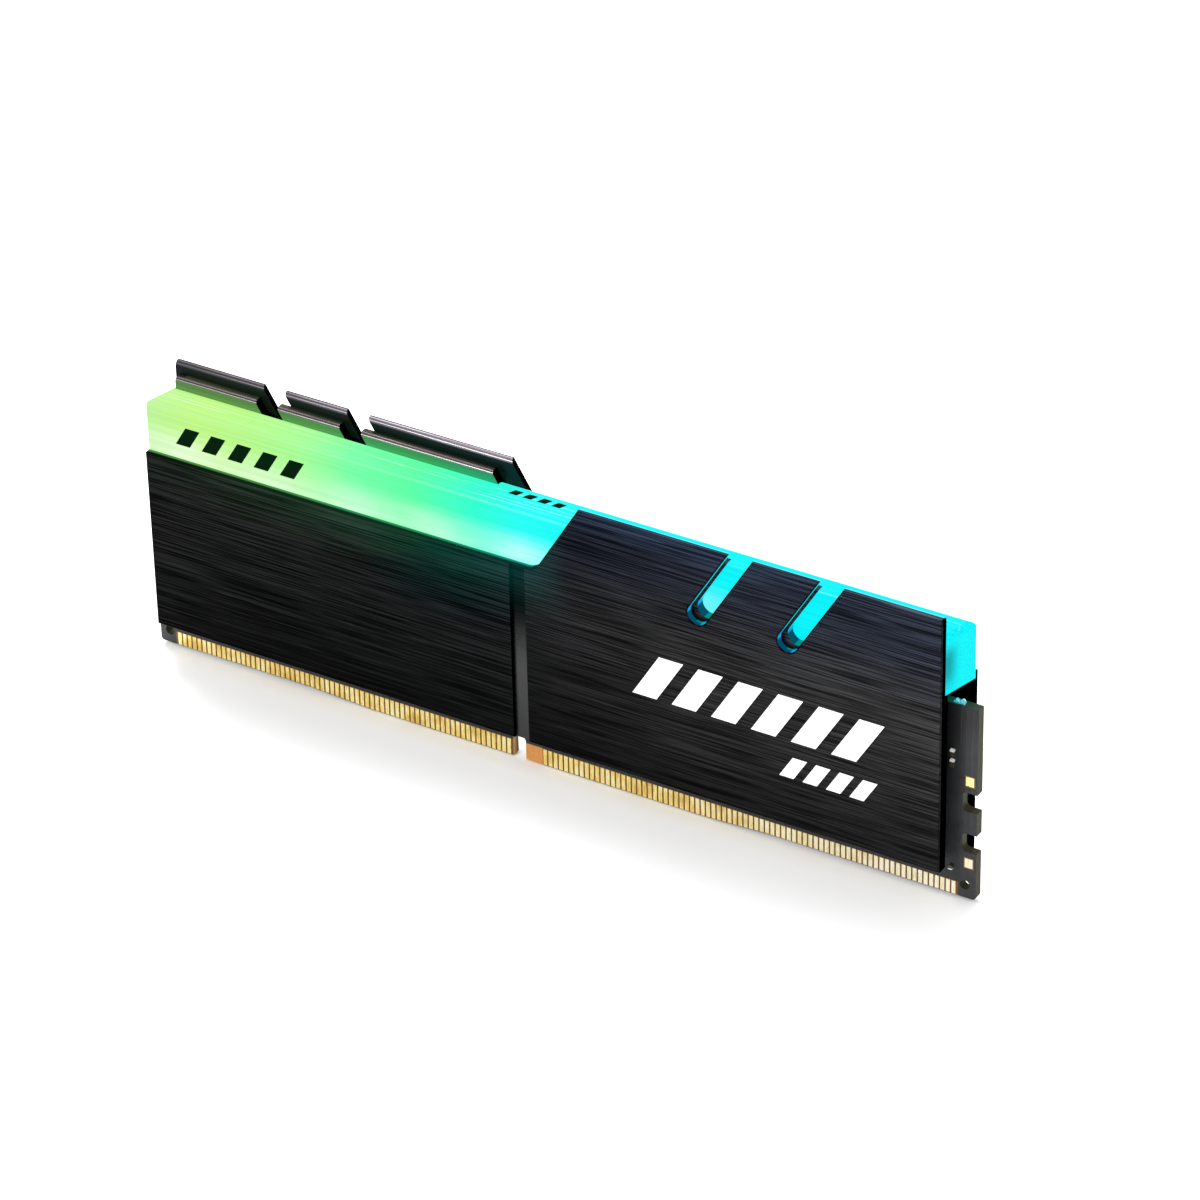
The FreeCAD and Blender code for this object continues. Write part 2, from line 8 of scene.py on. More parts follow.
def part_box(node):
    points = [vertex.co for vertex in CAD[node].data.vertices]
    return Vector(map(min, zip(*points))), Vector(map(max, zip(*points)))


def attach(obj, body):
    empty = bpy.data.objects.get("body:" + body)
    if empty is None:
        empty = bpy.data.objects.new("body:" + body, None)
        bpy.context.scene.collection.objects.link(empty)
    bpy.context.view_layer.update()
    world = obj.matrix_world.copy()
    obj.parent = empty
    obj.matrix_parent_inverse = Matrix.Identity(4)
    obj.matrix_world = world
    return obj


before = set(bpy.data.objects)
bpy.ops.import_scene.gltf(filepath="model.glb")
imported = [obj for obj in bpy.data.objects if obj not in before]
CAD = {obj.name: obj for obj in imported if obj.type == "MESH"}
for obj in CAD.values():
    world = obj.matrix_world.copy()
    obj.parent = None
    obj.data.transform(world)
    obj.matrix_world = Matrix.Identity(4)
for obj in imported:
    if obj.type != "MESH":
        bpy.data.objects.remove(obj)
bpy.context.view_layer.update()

# The looks of a lit memory module. Places are in millimetres in the materials and helpers,
# and become metres when a mesh, light or camera is made. X runs along the board, the front
# looks towards -Y and Z is up.

MM = 0.001


def box_mm(node):
    """Lowest and highest corner of a CAD node in millimetres."""
    low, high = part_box(node)
    return low / MM, high / MM


BOARD_LOW, BOARD_HIGH = box_mm("printed_board")
BAR_HIGH = box_mm("light_bar")[1]
PLATE_LOW = box_mm("heatspreader_front")[0]
REAR_PLATE_HIGH = box_mm("heatspreader_rear")[1]
LIGHT_NODES = [f"light_{place}" for place in range(1, 10)]
LIGHT_LOW, LIGHT_HIGH = box_mm(LIGHT_NODES[0])
LIGHT_CENTRE = (LIGHT_LOW.x + LIGHT_HIGH.x) / 2
LIGHT_PITCH = (box_mm(LIGHT_NODES[1])[0] - LIGHT_LOW).x
TEST_PAD_LOW, TEST_PAD_HIGH = box_mm("test_pads")
TEST_PAD_X = (TEST_PAD_LOW.x + TEST_PAD_HIGH.x) / 2
TEST_PAD_WIDTH = TEST_PAD_HIGH.x - TEST_PAD_LOW.x
TEST_PAD_TALL = 1.45
TEST_PAD_RISES = (TEST_PAD_LOW.z + TEST_PAD_TALL / 2, TEST_PAD_HIGH.z - TEST_PAD_TALL / 2)
PAD_RIM_GAP = 0.02
GROOVE_START = 60.5  # from the low end of each plate
GROOVE_WIDTH = 2.5
GROOVE_LEFT = PLATE_LOW.x + GROOVE_START
GROOVE_RIGHT = GROOVE_LEFT + GROOVE_WIDTH
REAR_GROOVE_RIGHT = REAR_PLATE_HIGH.x - GROOVE_START
REAR_GROOVE_LEFT = REAR_GROOVE_RIGHT - GROOVE_WIDTH
GROOVE_FLOOR = 3.4  # from the module's middle plane
SKIN_INSIDE = 2.9  # from the module's middle plane
LOW_HALF_TOP = 34.4
BACKING_TOP = 33.6
CONTACT_TOP = 2.74
CONTACT_REACH = 64.0  # from the board's middle to past the last contact
KEY_LEFT = -6.7
KEY_RIGHT = -4.3
BLANK_LEFT = -4.6
BLANK_RIGHT = -1.7
CAPACITOR_PITCH = 4.0
CAPACITOR_LENGTH = 1.0
RESISTOR_PITCH = 6.3
RESISTOR_LENGTH = 1.6
END_PART_WIDTH = 0.6
END_PART_TALL = 1.1
END_PART_STEP = 1.6
VIA_PLACES = ((65.7, 26.9), (65.3, 12.9), (65.4, 18.1), (63.9, 5.0))
TRACE_PATH = ((63.6, 6.6), (63.6, 12.4), (64.0, 13.2), (64.0, 21.6), (64.4, 22.6), (64.4, 30.2))
TRACE_PITCH = 0.45
EDGE_TAB_X = 63.6
EDGE_TAB_MIDDLE = -0.1
EDGE_TAB_NARROWING = 0.8
EDGE_TAB_OUTLINE = ((-1.0, 0.0), (-0.78, 0.42), (-0.55, 0.62), (-0.30, 0.30), (0.0, 0.36),
                    (0.34, 0.82), (0.52, 0.55), (0.66, 0.12), (0.72, 0.0))
EDGE_TAB_FOLDS = ((-0.45, -0.12), (-0.25, 0.0), (0.05, 0.10), (0.30, 0.0))  # as (y, lean)
CAMERA_PLACE = Vector((0.34677, -0.55007, 0.44165))  # in metres
CAMERA_AIM = Vector((0.0078849, 0.0, 0.0299650))  # in metres
CAMERA_ROLL = math.radians(-1.33861)

# Colours of the light along the bar, as (place, (red, green, blue)) with linear values.
GLOW = [
    (-66, (0.50, 0.88, 0.33)),
    (-57, (0.52, 0.90, 0.24)),
    (-47, (0.45, 0.90, 0.26)),
    (-39, (0.37, 0.92, 0.30)),
    (-31, (0.19, 0.94, 0.37)),
    (-20, (0.10, 0.96, 0.37)),
    (-10, (0.030, 0.97, 0.62)),
    (-3, (0.020, 0.95, 0.88)),
    (8, (0.004, 0.92, 0.93)),
    (30, (0.002, 0.88, 0.93)),
    (50, (0.001, 0.86, 0.93)),
    (66, (0.001, 0.86, 0.92)),
]

# Reflectance of the plate's black face, by the distance from the middle towards its tall half; its rise
# towards the tall half is a painted sheen.
PLATE_SHEEN = [
    (-66, (0.0066, 0.0067, 0.0068)),
    (-30, (0.0066, 0.0068, 0.0069)),
    (-6, (0.0072, 0.0074, 0.0077)),
    (5, (0.0090, 0.0090, 0.0095)),
    (20, (0.0120, 0.0120, 0.0125)),
    (35, (0.0148, 0.0148, 0.0155)),
    (50, (0.0168, 0.0168, 0.0175)),
    (66, (0.0188, 0.0188, 0.0196)),
]


# ---------------------------------------------------------------- node helpers


class Finish:
    """A node material and short ways to add to it. Its places are in millimetres."""

    def __init__(self, name):
        self.material = bpy.data.materials.new(name)
        self.material.use_nodes = True
        self.tree = self.material.node_tree
        self.shader = self.tree.nodes["Principled BSDF"]
        coordinates = self.add("ShaderNodeTexCoord").outputs["Object"]
        self.place = self.scaled(coordinates, (1 / MM, 1 / MM, 1 / MM))
        self.x, self.y, self.z = self.parts_of(self.place)
        normal = self.add("ShaderNodeNewGeometry").outputs["Normal"]
        self.facing_x, self.facing_y, self.facing_z = self.parts_of(normal)

    def add(self, kind, **settings):
        node = self.tree.nodes.new(kind)
        for key, value in settings.items():
            setattr(node, key, value)
        return node

    def feed(self, socket, value):
        if isinstance(value, bpy.types.NodeSocket):
            self.tree.links.new(value, socket)
        else:
            socket.default_value = value

    def parts_of(self, vector):
        split = self.add("ShaderNodeSeparateXYZ")
        self.feed(split.inputs[0], vector)
        return split.outputs[0], split.outputs[1], split.outputs[2]

    def scaled(self, vector, factors):
        node = self.add("ShaderNodeVectorMath", operation="MULTIPLY")
        self.feed(node.inputs[0], vector)
        self.feed(node.inputs[1], factors)
        return node.outputs[0]

    def math(self, operation, first, second=0.0, third=0.0):
        node = self.add("ShaderNodeMath", operation=operation)
        for socket, value in zip(node.inputs, (first, second, third)):
            self.feed(socket, value)
        return node.outputs[0]

    def product(self, first, *others):
        """Values multiplied together."""
        for other in others:
            first = self.math("MULTIPLY", first, other)
        return first

    def rise(self, value, start, end, low=0.0, high=1.0):
        """A value that goes smoothly from low to high while another goes from start to end."""
        node = self.add("ShaderNodeMapRange", interpolation_type="SMOOTHSTEP")
        for socket, entry in zip(node.inputs, (value, start, end, low, high)):
            self.feed(socket, entry)
        return node.outputs[0]

    def within(self, value, low, high, soft=0.05):
        """1 where a value is between low and high, else 0."""
        up = self.rise(value, low - soft, low + soft)
        down = self.rise(value, high - soft, high + soft)
        return self.math("SUBTRACT", up, down)

    def noise(self, factors, detail=3.0, roughness=0.6):
        """Noise with its own number of cells per millimetre along each axis."""
        node = self.add("ShaderNodeTexNoise")
        self.feed(node.inputs["Vector"], self.scaled(self.place, factors))
        self.feed(node.inputs["Scale"], 1.0)
        self.feed(node.inputs["Detail"], detail)
        self.feed(node.inputs["Roughness"], roughness)
        return node.outputs["Fac"]

    def ramp(self, value, stops):
        """A colour picked along a list of (place, colour) stops, with places from 0 to 1."""
        node = self.add("ShaderNodeValToRGB")
        elements = node.color_ramp.elements
        while len(elements) < len(stops):
            elements.new(0.5)
        for element, (place, colour) in zip(elements, stops):
            element.position = place
            element.color = (*colour, 1.0)
        self.feed(node.inputs[0], value)
        return node.outputs[0]

    def mix(self, amount, first, second, blend="MIX"):
        node = self.add("ShaderNodeMix", data_type="RGBA", blend_type=blend)
        self.feed(node.inputs["Factor"], amount)
        for socket, value in ((node.inputs[6], first), (node.inputs[7], second)):
            self.feed(socket, (*value, 1.0) if isinstance(value, tuple) else value)
        return node.outputs[2]

    def tinted(self, colour, tint, amount=1.0):
        """A colour multiplied by a tint, as far as an amount from 0 to 1 says."""
        return self.mix(amount, colour, tint, "MULTIPLY")

    def grey(self, value):
        node = self.add("ShaderNodeCombineColor")
        for socket in node.inputs:
            self.feed(socket, value)
        return node.outputs[0]

    def bump(self, height, distance_mm, strength=1.0):
        node = self.add("ShaderNodeBump")
        self.feed(node.inputs["Height"], height)
        self.feed(node.inputs["Distance"], distance_mm * MM)
        self.feed(node.inputs["Strength"], strength)
        self.set("Normal", node.outputs[0])

    def set(self, name, value):
        socket = self.shader.inputs[name]
        self.feed(socket, (*value, 1.0) if isinstance(value, tuple) and len(value) == 3 else value)

    def repeat_place(self, value, first, pitch):
        """Distance past the start of the cell a value is in, for cells of a pitch."""
        return self.math("FLOORED_MODULO", self.math("SUBTRACT", value, first), pitch)

    def along(self, value, stops):
        """A colour picked from (place, colour) stops, with places in millimetres."""
        start, end = stops[0][0], stops[-1][0]
        share = self.math("DIVIDE", self.math("SUBTRACT", value, start), end - start)
        return self.ramp(share, [((place - start) / (end - start), colour) for place, colour in stops])

    def glow_colour(self):
        """The colour of the light at this place along the bar."""
        return self.along(self.x, GLOW)


# ---------------------------------------------------------------- materials


class PlateFinish(Finish):
    """A finish whose places are the same on both plates, although one is turned round."""

    def __init__(self, name):
        super().__init__(name)
        self.is_front = self.rise(self.y, 0.1, -0.1)
        turned = self.math("MULTIPLY_ADD", self.is_front, 2.0, -1.0)
        self.toward_tall = self.product(self.x, turned)
        self.inward = self.product(self.facing_y, turned)
        self.off_centre = self.math("ABSOLUTE", self.y)
        self.above_bar = self.rise(self.z, BAR_HIGH.z - 0.2, BAR_HIGH.z)
        self.streaks = brush_streaks(self)


def brushed_plate():
    """Black brushed aluminium, with a painted sheen, greyer fin tops, a satin groove, painted shade on its
    end faces and ledges and a painted glow next to the bar.
    """
    finish = PlateFinish("brushed_plate")
    colour = plate_face(finish)
    colour = fin_colour(finish, colour)
    colour = groove_colour(finish, colour)
    colour = shaded_edge_colour(finish, colour)
    finish.set("Base Color", colour)
    finish.set("Specular Tint", (0.25, 0.25, 0.25))
    finish.set("Metallic", 1.0)
    finish.set("Roughness", finish.rise(finish.streaks, 0.3, 1.6, 0.42, 0.30))
    finish.set("Anisotropic", 0.6)
    finish.set("Tangent", across_brushing(finish))
    spill_light(finish)
    finish.bump(finish.streaks, 0.008, 0.25)
    return finish.material


def plate_face(finish):
    """The brushed face: a painted sheen paler towards the tall end, and painted tints where the bar's light
    reaches it, bluer on the tall half.
    """
    upper_share = finish.rise(finish.z, 4.0, 32.0, 0.82, 1.15)
    top_share = finish.rise(finish.z, 30.0, 46.0, 1.0, 0.72)
    level = finish.product(finish.streaks, upper_share, top_share)
    # Painted sheen: the face's tone grows paler towards the tall end.
    sheen = finish.along(finish.toward_tall, PLATE_SHEEN)
    colour = finish.tinted(finish.grey(level), sheen)
    # Painted light: the bar's glow tints the tall half blue, brightest near its top.
    tall_half = finish.product(finish.rise(finish.z, 30.0, 42.0), finish.rise(finish.toward_tall, -1.0, 6.0))
    colour = finish.tinted(colour, (0.80, 0.95, 1.35), tall_half)
    near_top = finish.product(finish.rise(finish.z, 42.0, 45.0),
                              finish.rise(finish.toward_tall, 62.0, 20.0), tall_half)
    colour = finish.tinted(colour, (1.55, 1.85, 2.15), near_top)
    # Painted light: the bar's colour tints the face just below it.
    below_light = finish.product(finish.within(finish.toward_tall, -24.0, -5.0, 8.0),
                                 finish.rise(finish.z, 20.0, 28.0))
    return finish.tinted(colour, (0.40, 0.82, 0.86), below_light)


def fin_colour(finish, colour):
    """Greys of the rails and skins above the bar, with a painted sheen on the skins' tops and a painted
    highlight line along their brims.
    """
    soft_streaks = finish.math("MULTIPLY_ADD", finish.streaks, 0.30, 0.62)
    faces_bar = finish.math("MAXIMUM", finish.math("SUBTRACT", 1.0, finish.is_front),
                            finish.rise(finish.inward, 0.3, 0.6))
    on_rail = finish.rise(finish.off_centre, SKIN_INSIDE + 0.05, SKIN_INSIDE - 0.05)
    rail_side = finish.product(on_rail, finish.above_bar, faces_bar)
    rail_grey = finish.tinted(finish.grey(soft_streaks), (0.046, 0.038, 0.037))
    colour = finish.mix(rail_side, colour, rail_grey)
    on_skin = finish.rise(finish.off_centre, SKIN_INSIDE - 0.1, SKIN_INSIDE)
    skin_inside = finish.product(finish.rise(finish.inward, 0.93, 0.99), on_skin)
    colour = finish.mix(skin_inside, colour, (0.008, 0.010, 0.013))
    # Painted sheen: the skins' tops get a paler grey, partly their own bare metal and partly painted sky
    # reflection, dimmer towards the left end.
    skin_top = finish.product(finish.rise(finish.facing_z, 0.15, 0.45), finish.above_bar,
                              finish.rise(finish.inward, 0.02, 0.15), on_skin)
    top_sheen_level = finish.product(soft_streaks, finish.rise(finish.x, -62.0, -12.0, 0.36, 1.0))
    top_grey = finish.tinted(finish.grey(top_sheen_level), (0.105, 0.092, 0.103))
    colour = finish.mix(skin_top, colour, top_grey)
    # Painted highlight: a bright line along the brims, dimmer towards the left end and more so on the skins.
    painted_brim_highlight = finish.product(finish.within(finish.inward, 0.75, 0.84, 0.03), finish.above_bar)
    highlight_dimming = finish.rise(finish.off_centre, SKIN_INSIDE - 0.1, SKIN_INSIDE, 0.25, 0.62)
    dimmed_highlight_end = finish.product(finish.rise(finish.x, -12.0, -62.0), highlight_dimming)
    brim_highlight_level = finish.math("SUBTRACT", 0.86, dimmed_highlight_end)
    return finish.mix(painted_brim_highlight, colour, finish.tinted(finish.grey(brim_highlight_level), (0.42, 0.42, 0.44)))


def groove_colour(finish, colour):
    """The satin floor of the upright groove, with painted shade next to the bar."""
    speckle = finish.noise((4.0, 4.0, 4.0), 2.0, 0.5)
    shade = finish.rise(finish.z, 28.0, 16.0, 0.02, 0.80)
    level = finish.product(shade, finish.math("MULTIPLY_ADD", speckle, 0.3, 0.85))
    satin = finish.tinted(finish.grey(level), (0.080, 0.080, 0.081))
    return finish.mix(groove_floor(finish), colour, satin)


def shaded_edge_colour(finish, colour):
    """The plates' end faces and ledges, painted almost black as shade."""
    end_face = finish.rise(finish.math("ABSOLUTE", finish.facing_x), 0.55, 0.85)
    ledge = finish.product(finish.rise(finish.facing_z, 0.3, 0.6),
                           finish.rise(finish.z, BAR_HIGH.z - 2, BAR_HIGH.z - 4))
    return finish.mix(finish.math("MAXIMUM", end_face, ledge), colour, (0.003, 0.003, 0.003))


def brush_streaks(finish):
    """Lengthways brush marks: fine grain, broader bands and a few bright hairs."""
    fine = finish.noise((0.055, 5.0, 5.0), 1.0, 0.6)
    strand = finish.noise((0.03, 2.8, 2.8), 1.0, 0.5)
    coarse = finish.noise((0.02, 0.9, 0.9), 2.0, 0.5)
    hair = finish.noise((0.12, 6.0, 6.0), 1.0, 0.5)
    grain = finish.rise(fine, 0.40, 0.60, 0.38, 1.62)
    strands = finish.rise(strand, 0.36, 0.64, 0.86, 1.14)
    bands = finish.rise(coarse, 0.32, 0.68, 0.96, 1.04)
    scratches = finish.math("MULTIPLY", finish.rise(hair, 0.64, 0.78), 1.8)
    return finish.math("ADD", finish.product(grain, strands, bands), scratches)


def across_brushing(finish):
    """The direction in the surface that crosses the brush marks, where highlights stretch."""
    cross = finish.add("ShaderNodeVectorMath", operation="CROSS_PRODUCT")
    normal = finish.add("ShaderNodeNewGeometry").outputs["Normal"]
    finish.feed(cross.inputs[0], normal)
    finish.feed(cross.inputs[1], (1.0, 0.0, 0.0))
    return cross.outputs[0]


def groove_floor(finish):
    """1 on the floor of the upright groove of either plate."""
    front = finish.within(finish.x, GROOVE_LEFT, GROOVE_RIGHT, 0.02)
    rear = finish.within(finish.x, REAR_GROOVE_LEFT, REAR_GROOVE_RIGHT, 0.02)
    front = finish.product(front, finish.is_front)
    rear = finish.product(rear, finish.math("SUBTRACT", 1.0, finish.is_front))
    sunk = finish.rise(finish.off_centre, GROOVE_FLOOR + 0.05, GROOVE_FLOOR - 0.02)
    outward = finish.rise(finish.math("ABSOLUTE", finish.facing_y), 0.6, 0.9)
    return finish.product(finish.math("ADD", front, rear), sunk, outward)


def low_half_wash(finish, lower_face):
    """The bar's light on the outer face below it, strongest at the top and near the middle."""
    reach = finish.math("POWER", finish.rise(finish.z, LOW_HALF_TOP - 12.0, LOW_HALF_TOP), 2.5)
    middle = finish.rise(finish.toward_tall, -78.0, -16.0, 0.02, 1.0)
    uneven = finish.math("MULTIPLY_ADD", finish.streaks, 0.5, 0.4)
    return finish.product(reach, middle, uneven, lower_face)


def lit_ledge(finish):
    """1 on the narrow upward faces next to the bar's foot."""
    return finish.product(
        finish.rise(finish.facing_z, 0.90, 0.97),
        finish.rise(finish.z, 40.0, 38.0),
        finish.rise(finish.z, BACKING_TOP - 0.3, BACKING_TOP),
        finish.rise(finish.off_centre, 3.6, SKIN_INSIDE),
    )


def slot_wall_light(finish, tall_span, near_foot):
    """Light on the slots' walls, bright where they mirror the bar and dim at their feet."""
    through = finish.rise(finish.math("ABSOLUTE", finish.facing_y), 0.35, 0.25)
    above_backing = finish.rise(finish.z, BACKING_TOP - 0.3, BACKING_TOP)
    mirrored = finish.product(grazing_view(finish), 0.9)
    dim = finish.product(near_foot, 0.16)
    return finish.product(through, tall_span, above_backing, finish.math("MAXIMUM", mirrored, dim))


def brim_light(finish):
    """Light mirrored on the rounded brims above the bar."""
    return finish.product(
        grazing_view(finish),
        finish.within(finish.inward, 0.07, 0.95, 0.05),
        finish.rise(finish.z, BAR_HIGH.z, BAR_HIGH.z + 1),
    )


def spill_light(finish):
    """The bar's light on the plate's faces next to it, in the bar's colour at each place."""
    outer = finish.rise(finish.off_centre, GROOVE_FLOOR - 0.1, GROOVE_FLOOR)
    lower_face = finish.product(outer, finish.rise(finish.toward_tall, 6.0, -1.0))
    tall_span = finish.product(finish.rise(finish.toward_tall, 3.0, 6.0),
                               finish.rise(finish.toward_tall, 61.6, 61.4))
    near_foot = finish.rise(finish.z, 38.0, 36.0)
    ledge = lit_ledge(finish)
    behind_fins = finish.product(finish.rise(finish.inward, 0.7, 0.95),
                                 finish.rise(finish.z, BAR_HIGH.z - 0.4, BAR_HIGH.z - 0.2))
    rail_face = finish.product(behind_fins, finish.rise(finish.off_centre, 2.6, 2.4))
    rail_light = finish.product(finish.rise(finish.x, -62.0, -14.0, 0.24, 0.32),
                                finish.rise(finish.z, BAR_HIGH.z, BAR_HIGH.z + 1.4, 1.1, 0.75))
    fin_light = finish.product(behind_fins, finish.math("MULTIPLY_ADD", rail_face, rail_light, 0.006))
    strength = finish.product(ledge, 0.60)
    for light in (slot_wall_light(finish, tall_span, near_foot), brim_light(finish), fin_light):
        strength = finish.math("MAXIMUM", strength, light)
    wash = low_half_wash(finish, lower_face)
    finish.set("Emission Strength", finish.math("MULTIPLY_ADD", wash, 0.036, strength))

    glow = finish.glow_colour()
    colour = finish.tinted(glow, (0.30, 0.90, 0.90), lower_face)
    colour = finish.tinted(colour, (1.00, 0.52, 0.95), finish.product(near_foot, tall_span))
    colour = finish.mix(rail_face, colour, finish.tinted(glow, (0.50, 1.00, 0.62)))
    finish.set("Emission Color", finish.mix(ledge, colour, finish.tinted(glow, (0.12, 0.55, 0.40))))


def grazing_view(finish):
    """1 where a surface is seen at a shallow angle, as when it mirrors what is beyond it."""
    geometry = finish.add("ShaderNodeNewGeometry").outputs
    face_on = finish.add("ShaderNodeVectorMath", operation="DOT_PRODUCT")
    finish.feed(face_on.inputs[0], geometry["Incoming"])
    finish.feed(face_on.inputs[1], geometry["Normal"])
    return finish.rise(face_on.outputs["Value"], 0.52, 0.36)


def light_bar():
    """Frosted acrylic lit from below, its colour changing along its length."""
    finish = Finish("light_bar")
    colour = finish.glow_colour()
    white = (1.0, 1.0, 1.0)
    lit = finish.mix(bar_milkiness(finish), colour, white)
    lit = finish.mix(bar_highlights(finish), lit, white)
    streak = finish.noise((0.02, 2.6, 2.6), 3.0, 0.6)
    seen = finish.add("ShaderNodeLightPath").outputs["Is Camera Ray"]
    strength = finish.product(finish.rise(streak, 0.25, 0.75, 0.92, 1.06),
                              finish.math("MULTIPLY_ADD", bar_end_shade(finish), -0.6, 1.0),
                              finish.rise(seen, 0.0, 1.0, 2.4, 1.0))
    finish.set("Emission Color", lit)
    finish.set("Emission Strength", strength)
    finish.set("Base Color", finish.tinted(colour, (0.04, 0.04, 0.04)))
    finish.set("Roughness", finish.rise(streak, 0.3, 0.7, 0.25, 0.38))
    finish.set("IOR", 1.12)
    finish.set("Specular IOR Level", 0.2)
    scuffs = finish.noise((0.05, 6.0, 6.0), 2.0, 0.5)
    finish.bump(scuffs, 0.006, 0.2)
    return finish.material


def bar_milkiness(finish):
    """How white the bar's foot is: most above each light, and not at all at the right end."""
    past = finish.repeat_place(finish.x, LIGHT_CENTRE - LIGHT_PITCH / 2, LIGHT_PITCH)
    from_light = finish.math("ABSOLUTE", finish.math("SUBTRACT", past, LIGHT_PITCH / 2))
    near_light = finish.rise(from_light, 6.0, 0.0)
    cloud = finish.noise((0.07, 0.25, 0.25), 2.0, 0.5)
    return finish.product(finish.rise(finish.z, 40.0, 35.0),
                          finish.math("MULTIPLY_ADD", near_light, 0.20, 0.30),
                          finish.rise(finish.x, 38.0, 10.0),
                          finish.rise(cloud, 0.2, 0.8, 0.6, 1.4))


def bar_highlights(finish):
    """Painted highlights: pale rims and streaks along the bar's top."""
    streak_highlight = finish.rise(finish.noise((0.03, 5.0, 5.0), 1.0, 0.4), 0.66, 0.72)
    upper = finish.rise(finish.facing_z, 0.2, 0.9)
    rim = finish.product(finish.within(finish.facing_z, 0.45, 0.75, 0.08),
                         finish.rise(finish.math("ABSOLUTE", finish.facing_y), 0.3, 0.5))
    pale = finish.math("MULTIPLY_ADD", rim, 0.16, finish.product(streak_highlight, upper))
    return finish.product(pale, 0.45)


def bar_end_shade(finish):
    """1 on the painted shade at the front of the bar's right end face, where the front plate shades it."""
    return finish.product(finish.rise(finish.facing_x, 0.5, 0.8), finish.rise(finish.y, 0.2, -2.4),
                          finish.rise(finish.z, 42.0, 39.0), finish.rise(finish.z, 33.0, 37.5))


def ink(name, tone, variation):
    """Printed ink with a fine uneven coverage."""
    finish = Finish(name)
    speckle = finish.noise((6.0, 6.0, 6.0), 4.0, 0.7)
    drift = finish.noise((0.3, 0.3, 0.3), 2.0, 0.5)
    amount = finish.math("ADD", finish.math("MULTIPLY", speckle, variation),
                         finish.math("MULTIPLY", drift, variation))
    level = finish.math("SUBTRACT", 1.0 + variation, amount)
    finish.set("Base Color", finish.tinted(finish.grey(level), tone))
    finish.set("Roughness", finish.rise(speckle, 0.2, 0.8, 0.45, 0.62))
    finish.bump(speckle, 0.01, 0.3)
    return finish


def pale_ink():
    """White print, with a faint painted white glow so that it keeps its tone in the bar's coloured light."""
    finish = ink("pale_ink", (0.90, 0.90, 0.90), 0.10)
    # Painted glow: a faint white emission on the print.
    finish.set("Emission Color", (1.0, 1.0, 1.0))
    finish.set("Emission Strength", 0.08)
    return finish.material


def dark_ink():
    """Matt print, almost black."""
    finish = ink("dark_ink", (0.0015, 0.009, 0.003), 0.4)
    finish.set("Specular IOR Level", 0.0)
    return finish.material


def board_laminate():
    """Dark solder mask over traces, bare laminate behind the contacts and layered edges, with a painted glow
    on the top edge.
    """
    finish = Finish("board_laminate")
    grain = finish.noise((9.0, 9.0, 9.0), 3.0, 0.6)
    traces = printed_traces(finish)
    on_face = finish.rise(finish.math("ABSOLUTE", finish.facing_y), 0.6, 0.9)
    finish.set("Base Color", finish.mix(on_face, board_edges(finish), board_faces(finish, traces)))
    # Painted glow: the board's top edge shines in the bar's colour, standing in for the bar's light on it.
    finish.set("Emission Color", finish.glow_colour())
    finish.set("Emission Strength", finish.product(finish.rise(finish.facing_z, 0.8, 0.95),
                                                   finish.rise(finish.z, 30.9, 31.1, 0.0, 0.022)))
    finish.set("Specular IOR Level", finish.rise(on_face, 0.0, 1.0, 0.06, 0.30))
    finish.set("Roughness", finish.rise(grain, 0.2, 0.8, 0.36, 0.50))
    finish.bump(finish.math("MULTIPLY_ADD", grain, 0.15, traces), 0.03, 0.5)
    return finish.material


def printed_traces(finish):
    """1 on the copper lines under the solder mask."""
    lines = finish.rise(finish.math("SINE", finish.math("MULTIPLY", finish.x, 7.0)), 0.55, 0.85)
    rows = finish.noise((0.25, 0.25, 0.06), 1.0, 0.3)
    return finish.product(lines, finish.rise(rows, 0.48, 0.54))


def board_faces(finish, traces):
    """Solder mask, and bare laminate behind the contacts, with painted shadow next to the plate and bar."""
    cloud = finish.noise((0.8, 0.8, 0.8), 4.0, 0.6)
    mask = finish.ramp(cloud, [(0.25, (0.014, 0.015, 0.017)), (0.75, (0.026, 0.027, 0.030))])
    mask = finish.mix(finish.product(traces, 0.5), mask, (0.040, 0.040, 0.039))
    bare = finish.ramp(cloud, [(0.3, (0.10, 0.040, 0.010)), (0.7, (0.17, 0.075, 0.018))])
    blank = finish.ramp(cloud, [(0.3, (0.50, 0.21, 0.045)), (0.7, (0.62, 0.27, 0.070))])
    bare = finish.mix(finish.within(finish.x, BLANK_LEFT, BLANK_RIGHT, 0.03), bare, blank)
    behind_contacts = finish.product(
        finish.rise(finish.z, CONTACT_TOP + 0.04, CONTACT_TOP - 0.04),
        finish.within(finish.math("ABSOLUTE", finish.x), 0.0, CONTACT_REACH, 0.02),
    )
    faces = finish.mix(behind_contacts, mask, bare)
    # Painted shadow: the board goes near black next to the plate's end and under the bar.
    plate_shadow = finish.product(finish.rise(finish.x, 66.0, 62.9), finish.rise(finish.z, 8.0, 30.0), 0.85)
    faces = finish.mix(plate_shadow, faces, (0.003, 0.003, 0.004))
    bar_shadow = finish.product(finish.rise(finish.x, 60.0, 61.0), finish.rise(finish.z, 26.0, 29.0), 0.75)
    return finish.mix(bar_shadow, faces, (0.005, 0.005, 0.006))


def board_edges(finish):
    """Layers of laminate along the edges, brighter on the walls of the key notch."""
    fibres = finish.noise((1.2, 14.0, 1.2), 3.0, 0.6)
    edge = finish.ramp(fibres, [(0.3, (0.006, 0.005, 0.001)), (0.7, (0.042, 0.038, 0.014))])
    key_wall = finish.product(finish.within(finish.x, KEY_LEFT, KEY_RIGHT, 0.02),
                              finish.rise(finish.z, 3.4, 2.9))
    depth = finish.rise(finish.y, BOARD_LOW.y, BOARD_HIGH.y)
    wall = finish.ramp(depth, [(0.0, (0.55, 0.33, 0.09)), (1.0, (0.07, 0.035, 0.008))])
    return finish.mix(key_wall, edge, wall)


